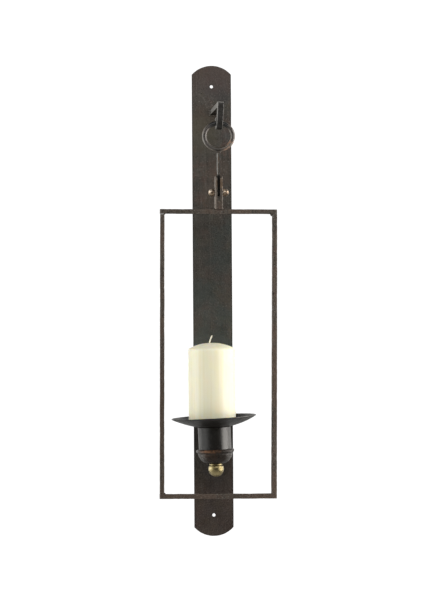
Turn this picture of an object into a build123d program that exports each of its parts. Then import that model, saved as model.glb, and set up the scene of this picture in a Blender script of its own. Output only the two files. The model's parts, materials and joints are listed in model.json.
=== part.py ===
from build123d import *

import os
from math import asin, atan2, cos, hypot, radians, sin, sqrt, tan

# Wall sconce for a pillar candle. Millimetres, +Z up. The wall is the plane Y = 0 and the object stands
# out towards -Y. The origin is the middle of the backplate's back face, halfway between its screw holes.

# Backplate: a flat iron strap with shallow arcs as ends
plate_length = 762
plate_width = 63.5
plate_thickness = 4
plate_end_radius = 42.5
plate_edge = 0.5
screw_hole_radius = 2.6
screw_spacing = 694

# Where the ring hangs. Everything under that place hangs plumb, and the strap leans from plumb by hang_lean
# degrees, so the ring, shank and frame are drawn on planes that lean by as much.
hang_x = 6.4
hang_y = -72
hang_lean = 0.4

# Ring: a round bar bent to a slightly wide ring
ring_bar_radius = 3.7
ring_line_half_width = 22.8
ring_line_half_height = 21.1
ring_centre_z = 262.4
ring_top_z = ring_centre_z + ring_line_half_height
ring_bottom_z = ring_centre_z - ring_line_half_height - ring_bar_radius

# Hook: square bar bent in one plane and drawn thinner towards its tip. The plane turns a little to the right
# on its way out from the wall and leans a little to the right at its top. The x values are at the height of
# the ring's top.
hook_width = 9.8
hook_root_thickness = 8
hook_bend_thickness = 9
hook_tip_thickness = 5.5
hook_root_x = 1.1
hook_front_x = hang_x + 0.7
hook_plane_lean = 3.2
hook_root_z = 305
hook_corner_z = 317.6
hook_seat_radius = 5.2
hook_outer_bend = 4
hook_inner_bend = 2.5
hook_tip_rise = 9
hook_tip_flare = 1.2

# Shank: a round rod, flattened to an eye that turns on the pivot pin
pivot_z = 172.5
pin_radius = 2.5
pin_clearance = 0.06
shank_radius = 2.7
eye_thickness = 3.6
eye_radius = 6
eye_neck_width = 9
eye_neck_corner = 1.7
eye_shoulder_z = 200.6
shank_round_z = 206

# Clevis: a fork on top of the frame
clevis_width = 12.6
clevis_depth = 12
clevis_top_z = 199
clevis_top_round = 5.5
clevis_slot_width = 4.2
clevis_slot_floor_z = 159.6
pivot_ball_radius = 6.2
pivot_ball_offset = 10.5
pivot_ball_gap = 0.1

# Frame of square bar
bar_size = 7.8
bar_edge = 0.5
frame_width = 187.2
frame_top_z = 146.2
frame_bottom_z = -315

# Cup: everything is turned about one axis, which leans a little to the left at its top. Heights along
# that axis are measured from the pan's rim.
cup_y = -73
pan_x = -4.2
pan_rim_z = -185.2
cup_lean = 2.2
pan_radius = 67.5
pan_depth = 17.6
pan_sheet = 1.6
dish_radius = (pan_radius**2 + pan_depth**2) / (2 * pan_depth)
dish_centre = dish_radius - pan_depth
sleeve_radius = 26
sleeve_wall = 1.6
bowl_top = -57.5
bead_top = -50.9
bead_radius = 30.4
bowl_bottom = -73.8
bowl_top_radius = 27.4
bowl_bottom_radius = 14
bowl_wall = 2.2
collar_radius = 10.4
collar_neck_radius = 8.6
collar_bottom = -77.8
ball_radius = 12.4
ball_centre = -82.5
rod_radius = 2.5
rod_hole_radius = 2.75
rod_bottom = -87.6
washer_radius = 9
washer_thickness = 1.2
pricket_base_radius = 7
pricket_base_height = 3
pricket_radius = 4
pricket_length = 25
pricket_tip_radius = 0.5
pricket_bore_depth = 6

# Arm: flat bar from the backplate to the back of the sleeve
arm_x = -1.6
arm_z = -220
arm_width = 22
arm_thickness = 8

# Weld beads
weld_width = 2.6
weld_height = 2.2
weld_taper = 40
weld_toe = 0.3
corner_weld = 2.4
corner_weld_bulge = 1.44
corner_weld_depth = 4.4

# Candle and wick
candle_radius = 37.5
candle_foot_x = -6.5
candle_foot_z = -195.2
candle_height = 128.6
candle_lean = 0.3
candle_foot_round = 1.5
candle_dome_sphere = 80
candle_dome_radius = 35.7
candle_shoulder_drop = 2.2
candle_shoulder_middle = (37, 0.8)
spike_hole_clearance = 0.6
spike_hole_end_gap = 1
wick_radius = 1.1
wick_offset = -3.3
wick_tip_offset = 1.1
wick_length = 11.5
wick_bend_height = 4.5
wick_depth = 3

os.makedirs("parts", exist_ok=True)


def save(name, part):
    """Labels a finished piece and writes its file."""
    part.label = name
    export_step(part, f"parts/{name}.step")


def leaning_plane(x, y, z, lean):
    """A plane whose normal points up, tipped towards -X by lean degrees, or towards +X if lean is negative."""
    across = (cos(radians(lean)), 0, sin(radians(lean)))
    up = (-sin(radians(lean)), 0, cos(radians(lean)))
    return Plane(origin=(x, y, z), x_dir=across, z_dir=up)


def profile_plane(base):
    """The plane that holds base's x direction and its normal, for profiles turned about that normal."""
    return Plane(origin=base.origin, x_dir=base.x_dir, z_dir=base.y_dir * -1)


def dish_height(radius, sphere_radius):
    """The height of the dish's surface at a distance from the cup's axis."""
    return dish_centre - sqrt(sphere_radius**2 - radius**2)


plate_front = Plane.XZ.offset(plate_thickness)
# Level, front and side planes of everything that hangs. Their origin is where the hanging line meets the
# height 0, so that a height of ring_top_z on that line is where the ring hangs.
hang_top = leaning_plane(hang_x, hang_y, ring_top_z, -hang_lean)
hang_level = hang_top.offset(-ring_top_z)
hang_plane = profile_plane(hang_level)
pivot_plane = Plane(origin=hang_level.origin, x_dir=hang_level.y_dir, z_dir=hang_level.x_dir)
hang_up = Axis(hang_level.origin, hang_level.z_dir)
hang_across = Axis(hang_level.origin, hang_level.x_dir)

cup_plane = leaning_plane(pan_x, cup_y, pan_rim_z, cup_lean)
cup_profile = profile_plane(cup_plane)
cup_axis = Axis(cup_plane.origin, cup_plane.z_dir)

candle_plane = leaning_plane(candle_foot_x, cup_y, candle_foot_z, candle_lean)
candle_profile = profile_plane(candle_plane)
candle_axis = Axis(candle_plane.origin, candle_plane.z_dir)

# Backplate
half_width = plate_width / 2
half_length = plate_length / 2
shoulder_z = half_length - plate_end_radius + sqrt(plate_end_radius**2 - half_width**2)
with BuildPart() as backplate:
    with BuildSketch(Plane.XZ):
        with BuildLine():
            Line((half_width, -shoulder_z), (half_width, shoulder_z))
            ThreePointArc((half_width, shoulder_z), (0, half_length), (-half_width, shoulder_z))
            Line((-half_width, shoulder_z), (-half_width, -shoulder_z))
            ThreePointArc((-half_width, -shoulder_z), (0, -half_length), (half_width, -shoulder_z))
        make_face()
        with GridLocations(0, screw_spacing, 1, 2):
            Circle(screw_hole_radius, mode=Mode.SUBTRACT)
    extrude(amount=plate_thickness)
    chamfer(backplate.faces().sort_by(Axis.Y)[0].outer_wire().edges(), plate_edge)
save("backplate", backplate.part)

# Hook: its side view lies in hook_plane, where x runs out from the wall and y is the height above the
# ring's top
hook_run = hypot(hook_front_x - hook_root_x, hang_y)
hook_turn = atan2(hook_front_x - hook_root_x, -hang_y)
hook_tip_over = radians(hook_plane_lean)
hook_plane = Plane(
    origin=(hook_root_x, 0, ring_top_z),
    x_dir=(sin(hook_turn), -cos(hook_turn), 0),
    z_dir=(-cos(hook_tip_over) * cos(hook_turn), -cos(hook_tip_over) * sin(hook_turn), sin(hook_tip_over)),
)
hook_outer_radius = hook_seat_radius + hook_tip_thickness
hook_face = hook_run + hook_outer_radius
hook_root_rise = hook_root_z - ring_top_z
hook_root_top = hook_root_rise + hook_root_thickness / 2
hook_root_foot = hook_root_rise - hook_root_thickness / 2
hook_corner_rise = hook_corner_z - ring_top_z
hook_inner_x = hook_face - hook_bend_thickness
hook_top_slope = (hook_corner_rise - hook_root_top) / hook_face
hook_inner_rise = hook_root_top + hook_top_slope * hook_inner_x - hook_bend_thickness
with BuildPart() as hook:
    with BuildSketch(hook_plane):
        with BuildLine():
            FilletPolyline(
                (0, hook_root_top),
                (hook_face, hook_corner_rise),
                (hook_face, 0),
                radius=hook_outer_bend,
            )
            ThreePointArc((hook_face, 0), (hook_run, -hook_outer_radius), (hook_run - hook_outer_radius, 0))
            Polyline(
                (hook_run - hook_outer_radius, 0),
                (hook_run - hook_outer_radius - hook_tip_flare, hook_tip_rise),
                (hook_run - hook_seat_radius - hook_tip_flare, hook_tip_rise),
                (hook_run - hook_seat_radius, 0),
            )
            ThreePointArc(
                (hook_run - hook_seat_radius, 0),
                (hook_run, -hook_seat_radius),
                (hook_run + hook_seat_radius, 0),
            )
            FilletPolyline(
                (hook_run + hook_seat_radius, 0),
                (hook_inner_x, hook_inner_rise),
                (0, hook_root_foot),
                radius=hook_inner_bend,
            )
            Line((0, hook_root_foot), (0, hook_root_top))
        make_face()
    extrude(amount=hook_width / 2, both=True)
    split(bisect_by=plate_front, keep=Keep.TOP)
save("hook", hook.part)

hook_weld_x = hook_root_x + hook_root_rise * tan(hook_tip_over)
hook_weld_z = hook_root_z + plate_thickness * hook_top_slope
with BuildPart() as hook_weld:
    with BuildSketch(plate_front):
        with Locations(Location((hook_weld_x, hook_weld_z), hook_plane_lean)):
            RectangleRounded(hook_width + 2 * weld_width, hook_root_thickness + 2 * weld_width, weld_width)
    extrude(amount=weld_height, taper=weld_taper)
    add(hook.part, mode=Mode.SUBTRACT)
save("hook_weld", hook_weld.part)

# Ring
with BuildPart() as hanging_ring:
    with BuildLine(hang_plane) as ring_line:
        EllipticalCenterArc((0, ring_centre_z), ring_line_half_width, ring_line_half_height, arc_size=360)
    with BuildSketch(hang_level.offset(ring_centre_z)):
        with Locations((ring_line_half_width, 0)):
            Circle(ring_bar_radius)
    sweep(path=ring_line.line)
save("hanging_ring", hanging_ring.part)

# Shank: the round rod, a tapered shoulder, then the flat neck and eye
with BuildPart() as ring_shank:
    with BuildSketch(hang_level.offset(shank_round_z)):
        Circle(shank_radius)
    extrude(amount=ring_bottom_z + ring_bar_radius - shank_round_z)
    with BuildSketch(hang_level.offset(eye_shoulder_z)):
        RectangleRounded(eye_thickness, eye_neck_width, eye_neck_corner)
    with BuildSketch(hang_level.offset(shank_round_z)):
        Circle(shank_radius)
    loft()
    with BuildSketch(pivot_plane):
        with Locations((0, (pivot_z + eye_shoulder_z) / 2)):
            Rectangle(eye_neck_width, eye_shoulder_z - pivot_z)
        with Locations((0, pivot_z)):
            Circle(eye_radius)
            Circle(pin_radius + pin_clearance, mode=Mode.SUBTRACT)
    extrude(amount=eye_thickness / 2, both=True)
    add(hanging_ring.part, mode=Mode.SUBTRACT)
save("ring_shank", ring_shank.part)

with BuildPart() as shank_weld:
    with BuildSketch(hang_level.offset(ring_bottom_z - weld_height)):
        Circle(shank_radius + weld_toe)
    with BuildSketch(hang_level.offset(ring_bottom_z + weld_height / 2)):
        Circle(shank_radius + weld_width)
    loft()
    add(ring_shank.part, mode=Mode.SUBTRACT)
    add(hanging_ring.part, mode=Mode.SUBTRACT)
save("shank_weld", shank_weld.part)

# Clevis, pivot pin and the ball heads
with BuildPart() as clevis:
    with BuildSketch(hang_plane):
        with Locations((0, (frame_top_z + clevis_top_z) / 2)):
            Rectangle(clevis_width, clevis_top_z - frame_top_z)
        with Locations((0, (clevis_slot_floor_z + clevis_top_z) / 2)):
            Rectangle(clevis_slot_width, clevis_top_z - clevis_slot_floor_z, mode=Mode.SUBTRACT)
    extrude(amount=clevis_depth / 2, both=True)
    fillet(clevis.edges().filter_by(hang_across).group_by(hang_up)[-1], clevis_top_round)
    with BuildSketch(pivot_plane):
        with Locations((0, pivot_z)):
            Circle(pin_radius)
    extrude(amount=clevis_width, both=True, mode=Mode.SUBTRACT)
save("clevis", clevis.part)

with BuildPart() as clevis_weld:
    with BuildSketch(hang_plane):
        for side in (-1, 1):
            foot = side * clevis_width / 2
            with BuildLine():
                Polyline(
                    (foot, frame_top_z),
                    (foot + side * weld_width, frame_top_z),
                    (foot, frame_top_z + weld_width),
                    close=True,
                )
            make_face()
    extrude(amount=bar_size / 2 - bar_edge, both=True)
save("clevis_weld", clevis_weld.part)

with BuildPart() as pivot_pin:
    with BuildSketch(pivot_plane):
        with Locations((0, pivot_z)):
            Circle(pin_radius)
    extrude(amount=pivot_ball_offset, both=True)
save("pivot_pin", pivot_pin.part)

pivot_axis = Axis(hang_level.offset(pivot_z).origin, hang_level.x_dir)
ball_foot = clevis_width / 2 + pivot_ball_gap
ball_foot_radius = sqrt(pivot_ball_radius**2 - (pivot_ball_offset - ball_foot) ** 2)
for side, name in ((-1, "pivot_ball_left"), (1, "pivot_ball_right")):
    foot_x = side * ball_foot
    centre_x = side * pivot_ball_offset
    with BuildPart() as pivot_ball:
        with BuildSketch(hang_plane):
            with BuildLine():
                ThreePointArc(
                    (foot_x, pivot_z + ball_foot_radius),
                    (centre_x, pivot_z + pivot_ball_radius),
                    (centre_x + side * pivot_ball_radius, pivot_z),
                )
                Polyline(
                    (centre_x + side * pivot_ball_radius, pivot_z),
                    (centre_x, pivot_z),
                    (centre_x, pivot_z + pin_radius),
                    (foot_x, pivot_z + pin_radius),
                    (foot_x, pivot_z + ball_foot_radius),
                )
            make_face()
        revolve(axis=pivot_axis)
    save(name, pivot_ball.part)

# Frame: the top and bottom bars run the whole width and the side bars stand between them
frame_middle_z = (frame_top_z + frame_bottom_z) / 2
level_bars = {
    "frame_top_bar": frame_top_z - bar_size / 2,
    "frame_bottom_bar": frame_bottom_z + bar_size / 2,
}
for name, bar_z in level_bars.items():
    with BuildPart() as level_bar:
        with BuildSketch(hang_plane):
            with Locations((0, bar_z)):
                Rectangle(frame_width, bar_size)
        extrude(amount=bar_size / 2, both=True)
        chamfer(level_bar.edges().filter_by(hang_across), bar_edge)
    save(name, level_bar.part)

side_bar_x = (frame_width - bar_size) / 2
for side, name in ((-1, "frame_left_bar"), (1, "frame_right_bar")):
    with BuildPart() as side_bar:
        with BuildSketch(hang_plane):
            with Locations((side * side_bar_x, frame_middle_z)):
                Rectangle(bar_size, frame_top_z - frame_bottom_z - 2 * bar_size)
        extrude(amount=bar_size / 2, both=True)
        chamfer(side_bar.edges().filter_by(hang_up), bar_edge)
    save(name, side_bar.part)

inner_half_width = frame_width / 2 - bar_size
inner_half_height = (frame_top_z - frame_bottom_z) / 2 - bar_size
with BuildPart() as corner_welds:
    with BuildSketch(hang_plane):
        for side in (-1, 1):
            for end in (-1, 1):
                corner_x = side * inner_half_width
                corner_z = frame_middle_z + end * inner_half_height
                level_end = (corner_x - side * corner_weld, corner_z)
                upright_end = (corner_x, corner_z - end * corner_weld)
                bulge = (corner_x - side * corner_weld_bulge, corner_z - end * corner_weld_bulge)
                with BuildLine():
                    Polyline(level_end, (corner_x, corner_z), upright_end)
                    ThreePointArc(upright_end, bulge, level_end)
                make_face()
    extrude(amount=corner_weld_depth / 2, both=True)
save("corner_welds", corner_welds.part)

# Drip pan: one sheet dished to a sphere, its rim cut square to the sheet
rim_angle = asin(pan_radius / dish_radius)
inner_radius = dish_radius - pan_sheet
rim_inner = (inner_radius * sin(rim_angle), dish_centre - inner_radius * cos(rim_angle))
with BuildPart() as drip_pan:
    with BuildSketch(cup_profile):
        with BuildLine():
            outer_foot = (rod_hole_radius, dish_height(rod_hole_radius, dish_radius))
            inner_foot = (rod_hole_radius, dish_height(rod_hole_radius, inner_radius))
            outer_middle = (pan_radius / 2, dish_height(pan_radius / 2, dish_radius))
            inner_middle = (pan_radius / 2, dish_height(pan_radius / 2, inner_radius))
            ThreePointArc(outer_foot, outer_middle, (pan_radius, 0))
            Line((pan_radius, 0), rim_inner)
            ThreePointArc(rim_inner, inner_middle, inner_foot)
            Line(inner_foot, outer_foot)
        make_face()
    revolve(axis=cup_axis)
save("drip_pan", drip_pan.part)

# Sleeve: a short tube between the pan and the bowl
sleeve_inner = sleeve_radius - sleeve_wall
sleeve_top = dish_height(sleeve_inner, dish_radius)
with BuildPart() as cup_sleeve:
    with BuildSketch(cup_plane.offset(bowl_top)):
        Circle(sleeve_radius)
        Circle(sleeve_inner, mode=Mode.SUBTRACT)
    extrude(amount=sleeve_top - bowl_top)
save("cup_sleeve", cup_sleeve.part)

with BuildPart() as bowl_bead:
    with BuildSketch(cup_profile):
        with BuildLine():
            Polyline((bowl_top_radius, bowl_top), (sleeve_radius, bowl_top), (sleeve_radius, bead_top))
            ThreePointArc(
                (sleeve_radius, bead_top),
                (bead_radius, (bead_top + bowl_top) / 2),
                (bowl_top_radius, bowl_top),
            )
        make_face()
    revolve(axis=cup_axis)
save("bowl_bead", bowl_bead.part)

# Bowl: a turned shell with a flat floor, seated under the sleeve's end
bowl_middle = (24, -66.2)
bowl_inner_middle = (21.9, -65.2)
bowl_floor = bowl_bottom + bowl_wall
with BuildPart() as cup_bowl:
    with BuildSketch(cup_profile):
        with BuildLine():
            ThreePointArc((bowl_top_radius, bowl_top), bowl_middle, (bowl_bottom_radius, bowl_bottom))
            Polyline(
                (bowl_bottom_radius, bowl_bottom),
                (rod_hole_radius, bowl_bottom),
                (rod_hole_radius, bowl_floor),
                (bowl_bottom_radius - bowl_wall / 2, bowl_floor),
            )
            ThreePointArc(
                (bowl_bottom_radius - bowl_wall / 2, bowl_floor),
                bowl_inner_middle,
                (bowl_top_radius - bowl_wall, bowl_top),
            )
            Line((bowl_top_radius - bowl_wall, bowl_top), (bowl_top_radius, bowl_top))
        make_face()
    revolve(axis=cup_axis)
save("cup_bowl", cup_bowl.part)

# Finial: a collar with a turned neck, and a ball that is the rod's lower nut
collar_band = collar_bottom + (bowl_bottom - collar_bottom) * 0.6
with BuildPart() as finial_collar:
    with BuildSketch(cup_profile):
        with BuildLine():
            Polyline(
                (collar_neck_radius, collar_bottom),
                (rod_hole_radius, collar_bottom),
                (rod_hole_radius, bowl_bottom),
                (collar_radius, bowl_bottom),
                (collar_radius, collar_band),
                (collar_neck_radius, (collar_band + collar_bottom) / 2),
                close=True,
            )
        make_face()
    revolve(axis=cup_axis)
save("finial_collar", finial_collar.part)

ball_flat_radius = sqrt(ball_radius**2 - (collar_bottom - ball_centre) ** 2)
with BuildPart() as finial_ball:
    with BuildSketch(cup_profile):
        with BuildLine():
            ThreePointArc(
                (0, ball_centre - ball_radius), (ball_radius, ball_centre), (ball_flat_radius, collar_bottom)
            )
            Polyline(
                (ball_flat_radius, collar_bottom),
                (rod_radius, collar_bottom),
                (rod_radius, rod_bottom),
                (0, rod_bottom),
                (0, ball_centre - ball_radius),
            )
        make_face()
    revolve(axis=cup_axis)
save("finial_ball", finial_ball.part)

# Washer, pricket and tie rod: the rod screws into the ball below and into the pricket above
washer_bottom = dish_height(washer_radius, inner_radius)
pricket_bottom = washer_bottom + washer_thickness
pricket_shoulder = pricket_bottom + pricket_base_height
with BuildPart() as pan_washer:
    with BuildSketch(cup_plane.offset(washer_bottom)):
        Circle(washer_radius)
        Circle(rod_hole_radius, mode=Mode.SUBTRACT)
    extrude(amount=washer_thickness)
save("pan_washer", pan_washer.part)

with BuildPart() as pricket:
    with BuildSketch(cup_profile):
        with BuildLine():
            Polyline(
                (rod_radius, pricket_bottom),
                (pricket_base_radius, pricket_bottom),
                (pricket_base_radius, pricket_shoulder),
                (pricket_radius, pricket_shoulder),
                (pricket_tip_radius, pricket_shoulder + pricket_length),
                (0, pricket_shoulder + pricket_length),
                (0, pricket_bottom + pricket_bore_depth),
                (rod_radius, pricket_bottom + pricket_bore_depth),
                close=True,
            )
        make_face()
    revolve(axis=cup_axis)
save("pricket", pricket.part)

with BuildPart() as tie_rod:
    with BuildSketch(cup_plane.offset(rod_bottom)):
        Circle(rod_radius)
    extrude(amount=pricket_bottom + pricket_bore_depth - rod_bottom)
save("tie_rod", tie_rod.part)

# Arm, coped to the sleeve
with BuildPart() as cup_arm:
    with BuildSketch(plate_front):
        with Locations((arm_x, arm_z)):
            Rectangle(arm_width, arm_thickness)
    extrude(amount=-cup_y - plate_thickness)
    with BuildSketch(cup_plane.offset(bowl_top)):
        Circle(sleeve_radius)
    extrude(amount=-bowl_top, mode=Mode.SUBTRACT)
save("cup_arm", cup_arm.part)

with BuildPart() as arm_weld:
    with BuildSketch(plate_front):
        with Locations((arm_x, arm_z)):
            RectangleRounded(arm_width + 2 * weld_width, arm_thickness + 2 * weld_width, weld_width)
    extrude(amount=weld_height, taper=weld_taper)
    add(cup_arm.part, mode=Mode.SUBTRACT)
save("arm_weld", arm_weld.part)

# Wick: straight out of the wax, then bent to the right
with BuildPart() as candle_wick:
    with BuildLine(candle_profile) as wick_path:
        FilletPolyline(
            (wick_offset, candle_height - wick_depth),
            (wick_offset, candle_height + wick_bend_height),
            (wick_tip_offset, candle_height + wick_length),
            radius=wick_bend_height,
        )
    with BuildSketch(candle_plane.offset(candle_height - wick_depth)):
        with Locations((wick_offset, 0)):
            Circle(wick_radius)
    sweep(path=wick_path.line)
save("candle_wick", candle_wick.part)

# Candle: a domed top with a soft shoulder, and the hole that the pricket leaves along the cup's axis
dome_edge_drop = candle_dome_sphere - sqrt(candle_dome_sphere**2 - candle_dome_radius**2)
dome_edge = candle_height - dome_edge_drop
dome_middle = candle_height - candle_dome_sphere + sqrt(candle_dome_sphere**2 - (candle_dome_radius / 2) ** 2)
spike_hole_end = pricket_shoulder + pricket_length + spike_hole_end_gap
with BuildPart() as candle:
    with BuildSketch(candle_profile):
        with BuildLine():
            Polyline(
                (0, candle_height),
                (0, 0),
                (candle_radius - candle_foot_round, 0),
                (candle_radius, candle_foot_round),
                (candle_radius, dome_edge - candle_shoulder_drop),
            )
            ThreePointArc(
                (candle_radius, dome_edge - candle_shoulder_drop),
                (candle_shoulder_middle[0], dome_edge - candle_shoulder_middle[1]),
                (candle_dome_radius, dome_edge),
            )
            ThreePointArc(
                (candle_dome_radius, dome_edge), (candle_dome_radius / 2, dome_middle), (0, candle_height)
            )
        make_face()
    revolve(axis=candle_axis)
    with BuildSketch(cup_profile):
        with BuildLine():
            Polyline(
                (0, pricket_shoulder),
                (pricket_radius + spike_hole_clearance, pricket_shoulder),
                (pricket_tip_radius + spike_hole_clearance, spike_hole_end),
                (0, spike_hole_end),
                close=True,
            )
        make_face()
    revolve(axis=cup_axis, mode=Mode.SUBTRACT)
    add(candle_wick.part, mode=Mode.SUBTRACT)
save("candle", candle.part)
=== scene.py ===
"""The looks of the pillar candle wall sconce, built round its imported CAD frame. Metres, +Z up."""

import json
import math

import bmesh
import bpy
from mathutils import Matrix, Vector, noise


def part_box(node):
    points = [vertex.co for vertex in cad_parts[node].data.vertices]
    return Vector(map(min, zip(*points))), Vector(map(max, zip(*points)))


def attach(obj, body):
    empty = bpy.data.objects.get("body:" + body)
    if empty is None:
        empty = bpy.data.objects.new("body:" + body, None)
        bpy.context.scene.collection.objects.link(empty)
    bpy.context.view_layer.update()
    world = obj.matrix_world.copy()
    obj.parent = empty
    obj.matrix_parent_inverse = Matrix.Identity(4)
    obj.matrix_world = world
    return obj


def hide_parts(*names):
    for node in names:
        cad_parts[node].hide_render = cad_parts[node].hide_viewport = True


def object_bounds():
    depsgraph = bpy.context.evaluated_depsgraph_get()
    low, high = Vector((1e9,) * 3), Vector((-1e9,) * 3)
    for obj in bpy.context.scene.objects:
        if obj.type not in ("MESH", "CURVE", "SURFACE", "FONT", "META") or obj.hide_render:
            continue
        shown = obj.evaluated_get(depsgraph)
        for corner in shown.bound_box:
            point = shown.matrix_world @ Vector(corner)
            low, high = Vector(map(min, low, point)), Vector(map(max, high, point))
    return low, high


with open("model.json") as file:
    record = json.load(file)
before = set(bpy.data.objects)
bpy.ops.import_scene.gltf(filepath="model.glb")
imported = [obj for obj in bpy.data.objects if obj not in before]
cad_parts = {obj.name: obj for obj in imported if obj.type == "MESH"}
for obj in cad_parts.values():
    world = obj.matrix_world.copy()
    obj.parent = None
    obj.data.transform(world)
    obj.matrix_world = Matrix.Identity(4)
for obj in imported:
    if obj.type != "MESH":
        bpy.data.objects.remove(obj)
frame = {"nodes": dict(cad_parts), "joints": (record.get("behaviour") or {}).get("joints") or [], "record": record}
cad_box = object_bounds()
nodes = frame["nodes"]
joints = {joint["name"]: joint for joint in frame["joints"]}

MM = 0.001
FLOOR_DROP = 1.1
FLOOR_R = 7.0


# ---------------------------------------------------------------- places taken from the frame

def middle(node):
    low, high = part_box(node)
    return (low + high) / 2


def axes_matrix(origin, across, up):
    """A matrix from local (x, y, z) to the row frame, with x across and z up."""
    rotation = Matrix((across, up.cross(across), up)).transposed().to_4x4()
    return Matrix.Translation(origin) @ rotation


def local_box(node, matrix):
    """The node's lowest and highest corners in matrix's own coordinates."""
    inverse = matrix.inverted()
    points = [inverse @ v.co for v in nodes[node].data.vertices]
    return Vector(map(min, zip(*points))), Vector(map(max, zip(*points)))


BACK = Vector((0, 1, 0))
plate_low, plate_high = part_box("backplate")

# The ring, shank and frame hang along a line that leans a little from the strap.
hang = Vector(joints["ring_swing"]["pos_m"])
pivot = Vector(joints["frame_swing"]["pos_m"])
hang_across = -Vector(joints["frame_swing"]["axis"]).normalized()
hang_matrix = axes_matrix(hang, hang_across, hang_across.cross(BACK))

# The cup's axis leans too. Its matrix has its origin at the middle of the finial ball.
cup_up = Vector(joints["candle_lift"]["axis"]).normalized()
ball_low, ball_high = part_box("finial_ball")
BALL_R = (ball_high.y - ball_low.y) / 2
ball_centre = Vector(((ball_low.x + ball_high.x) / 2, (ball_low.y + ball_high.y) / 2, ball_low.z + BALL_R))
cup_matrix = axes_matrix(ball_centre, BACK.cross(cup_up).normalized(), cup_up)


# ---------------------------------------------------------------- mesh building

def noise1(point, scale, seed):
    return noise.noise(point / scale + Vector((seed * 7.9, seed * 13.7, seed * 3.3)))


def noise3(point, scale, seed):
    """Three plain noises, because noise_vector's own offsets change at every start of Blender."""
    return Vector([noise1(point, scale, seed + apart) for apart in (0.37, 1.91, 3.13)])


def dent(point, spacing, seed):
    """From 0 to 1, how deep a point lies in the nearest hammer mark."""
    distances, _ = noise.voronoi(point / spacing + Vector((seed * 3.1, seed * 11.9, seed * 6.7)))
    return max(0.0, 1 - (distances[0] / 0.55) ** 2)


def hammered(bm, depth, spacing, waver, seed, keep=None):
    """Moves each vertex: in by hammer marks, and both ways by a slow waver. keep scales it by place."""
    bm.normal_update()
    moves = []
    for v in bm.verts:
        share = keep(v.co) if keep else 1.0
        inward = depth * dent(v.co, spacing, seed) * share
        fine = depth * 0.25 * noise1(v.co, spacing * 0.22, seed + 2) * share
        moves.append(noise3(v.co, spacing * 6, seed) * waver * share + v.normal * (fine - inward))
    for v, move in zip(bm.verts, moves):
        v.co += move


def keep_in_box(bm):
    """Moves back the vertices that the wavering took past the CAD's own box."""
    low, high = cad_box
    for v in bm.verts:
        v.co = Vector([min(max(value, least), most) for value, least, most in zip(v.co, low, high)])


def add_object(name, data):
    made = bpy.data.objects.new(name, data)
    bpy.context.scene.collection.objects.link(made)
    return made


def mesh_object(bm, name, material):
    mesh = bpy.data.meshes.new(name)
    bm.to_mesh(mesh)
    bm.free()
    mesh.materials.append(material)
    return add_object(name, mesh)


def finish_mesh(bm, name, material, body, replaced, sharp=38):
    """Turns a bmesh into a piece: smooth faces, sharp edges past an angle, its body, and the nodes it replaces
    hidden.
    """
    keep_in_box(bm)
    bmesh.ops.remove_doubles(bm, verts=bm.verts, dist=1e-6)
    bmesh.ops.recalc_face_normals(bm, faces=bm.faces)
    limit = math.radians(sharp)
    for face in bm.faces:
        face.smooth = True
    for edge in bm.edges:
        edge.smooth = len(edge.link_faces) == 2 and edge.calc_face_angle(0) < limit
    piece = mesh_object(bm, name, material)
    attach(piece, body)
    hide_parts(*replaced)


def join_rings(bm, a, b):
    """Faces between two closed rings of vertices, of which one may be a single pole."""
    count = max(len(a), len(b))
    for k in range(count):
        j = (k + 1) % count
        if len(a) == 1:
            bm.faces.new((a[0], b[j], b[k]))
        elif len(b) == 1:
            bm.faces.new((a[k], a[j], b[0]))
        else:
            bm.faces.new((a[k], a[j], b[j], b[k]))


def skin(rings, closed_along=False, capped=True):
    """A bmesh from rings of points: faces between neighbouring rings, and a flat cap at each open end."""
    bm = bmesh.new()
    grid = [[bm.verts.new(p) for p in ring] for ring in rings]
    for a, b in zip(grid, grid[1:]):
        join_rings(bm, a, b)
    if closed_along:
        join_rings(bm, grid[-1], grid[0])
    if capped and not closed_along:
        bm.faces.new(list(reversed(grid[0])))
        bm.faces.new(grid[-1])
    return bm


def rounded_box(width, height, corner):
    """A rounded rectangle's outline, anticlockwise, as (x, y) pairs."""
    outline = []
    steps = 4
    half_w, half_h = width / 2 - corner, height / 2 - corner
    centres = [Vector((sx * half_w, sy * half_h)) for sx, sy in ((1, 1), (-1, 1), (-1, -1), (1, -1))]
    for turn, centre in enumerate(centres):
        for k in range(steps + 1):
            angle = math.radians(90 * turn + 90 * k / steps)
            outline.append(centre + corner * Vector((math.cos(angle), math.sin(angle))))
        start = outline[-1]
        end = start + centres[(turn + 1) % 4] - centre
        for k in range(1, steps):
            outline.append(start.lerp(end, k / steps))
    return outline


def filleted(points, radii, steps, spacing=None):
    """An open profile through points, each inner corner rounded by its radius, long runs split evenly."""
    path = [Vector(points[0])]
    for before, here, after, radius in zip(points, points[1:], points[2:], radii):
        here = Vector(here)
        to_before = (Vector(before) - here).normalized()
        to_after = (Vector(after) - here).normalized()
        if radius <= 0:
            path.append(here)
            continue
        for k in range(steps + 1):
            s = k / steps
            a = here + to_before * radius * (1 - s)
            b = here + to_after * radius * s
            path.append(a.lerp(b, s))
    path.append(Vector(points[-1]))
    if spacing is None:
        return path
    dense = [path[0]]
    for a, b in zip(path, path[1:]):
        parts = max(1, round((b - a).length / spacing))
        dense.extend(a.lerp(b, k / parts) for k in range(1, parts + 1))
    return dense


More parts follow.
